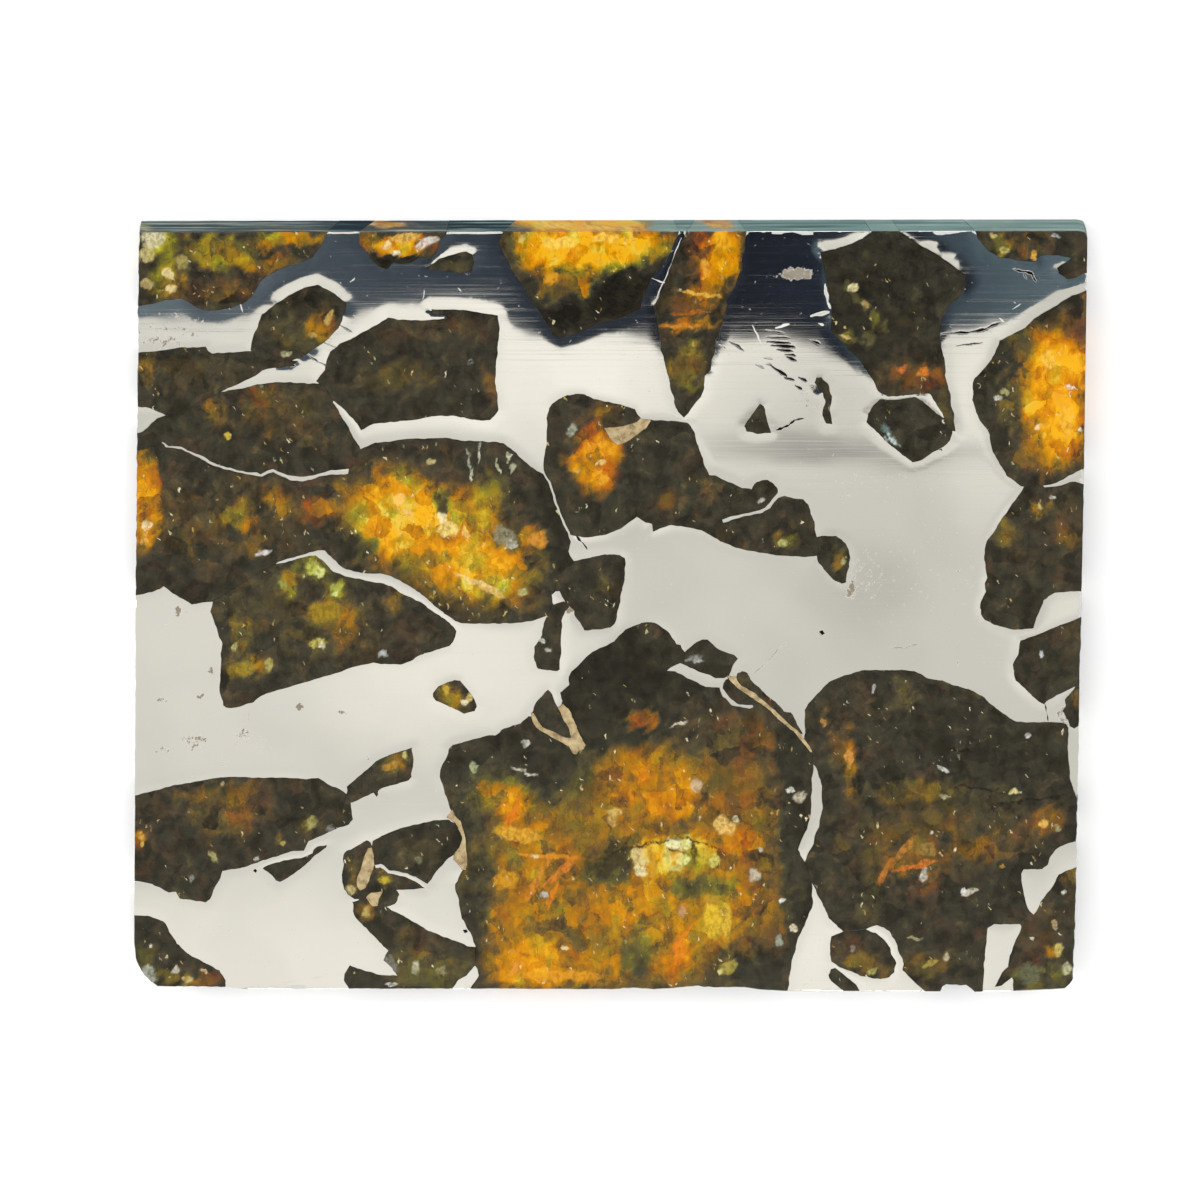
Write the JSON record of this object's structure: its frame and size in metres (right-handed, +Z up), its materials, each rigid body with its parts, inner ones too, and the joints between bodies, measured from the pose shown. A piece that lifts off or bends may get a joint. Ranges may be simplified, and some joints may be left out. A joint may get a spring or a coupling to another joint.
{
  "type": "meteorite slice",
  "caption": "Thin sawn slice of stony-iron meteorite, with golden and dark glassy crystals in bright polished metal.",
  "frame": {"origin": "middle of the lower face, where the slice lies on the table", "axes": "+X along the long edges, +Y towards the long edge that is uppermost in the picture, +Z up out of the polished face"},
  "size_m": [0.0606, 0.0496, 0.004],
  "materials": {
    "nickel_iron": "polished, with fine straight lines and small rust specks",
    "schreibersite": "satin tan",
    "golden_olivine": "polished, see-through gold with dark fractures",
    "dark_olivine": "polished, dark with gold glints"
  },
  "bodies": {
    "root": {"metal_bit_bottom": "nickel_iron", "metal_bit_centre": "nickel_iron", "metal_bit_left": "nickel_iron", "metal_bit_right_lower": "nickel_iron", "metal_bit_right_upper": "nickel_iron", "metal_block_bottom_right": "nickel_iron", "metal_matrix": "nickel_iron", "metal_pocket_bottom": "nickel_iron", "metal_pocket_lower_left": "nickel_iron", "metal_sliver_centre": "nickel_iron", "metal_vein_left": "nickel_iron", "metal_vein_right": "nickel_iron", "olivine_band_tip": "dark_olivine", "olivine_bead": "golden_olivine", "olivine_bottom_left": "dark_olivine", "olivine_centre": "dark_olivine", "olivine_centre_cap": "dark_olivine", "olivine_centre_dark": "dark_olivine", "olivine_centre_gold": "golden_olivine", "olivine_centre_sliver": "dark_olivine", "olivine_centre_tail": "dark_olivine", "olivine_cluster_dark": "dark_olivine", "olivine_cluster_left": "dark_olivine", "olivine_corner_bottom_left": "dark_olivine", "olivine_corner_bottom_right": "dark_olivine", "olivine_corner_top_right": "dark_olivine", "olivine_fleck_long": "dark_olivine", "olivine_fleck_triangle": "dark_olivine", "olivine_fork_piece": "dark_olivine", "olivine_left_band": "dark_olivine", "olivine_left_gold": "golden_olivine", "olivine_left_hexagon": "dark_olivine", "olivine_left_lens": "dark_olivine", "olivine_left_sliver": "dark_olivine", "olivine_left_triangle": "golden_olivine", "olivine_lower_chip": "dark_olivine", "olivine_lower_left_band": "dark_olivine", "olivine_lower_lens": "dark_olivine", "olivine_peg": "dark_olivine", "olivine_right_chip": "dark_olivine", "olivine_right_dark": "dark_olivine", "olivine_right_gold": "golden_olivine", "olivine_right_middle": "dark_olivine", "olivine_right_small": "dark_olivine", "olivine_small_gem": "dark_olivine", "olivine_tail_tip": "dark_olivine", "olivine_tear": "dark_olivine", "olivine_top_bead": "golden_olivine", "olivine_top_gold": "golden_olivine", "olivine_top_left": "golden_olivine", "olivine_top_right": "dark_olivine", "olivine_top_wedge": "golden_olivine", "olivine_upper_left": "dark_olivine", "schreibersite_blade": "schreibersite", "schreibersite_chip": "schreibersite", "schreibersite_crescent": "schreibersite", "schreibersite_fork": "schreibersite", "schreibersite_vein": "schreibersite", "schreibersite_wedge": "schreibersite"}
  },
  "joints": []
}
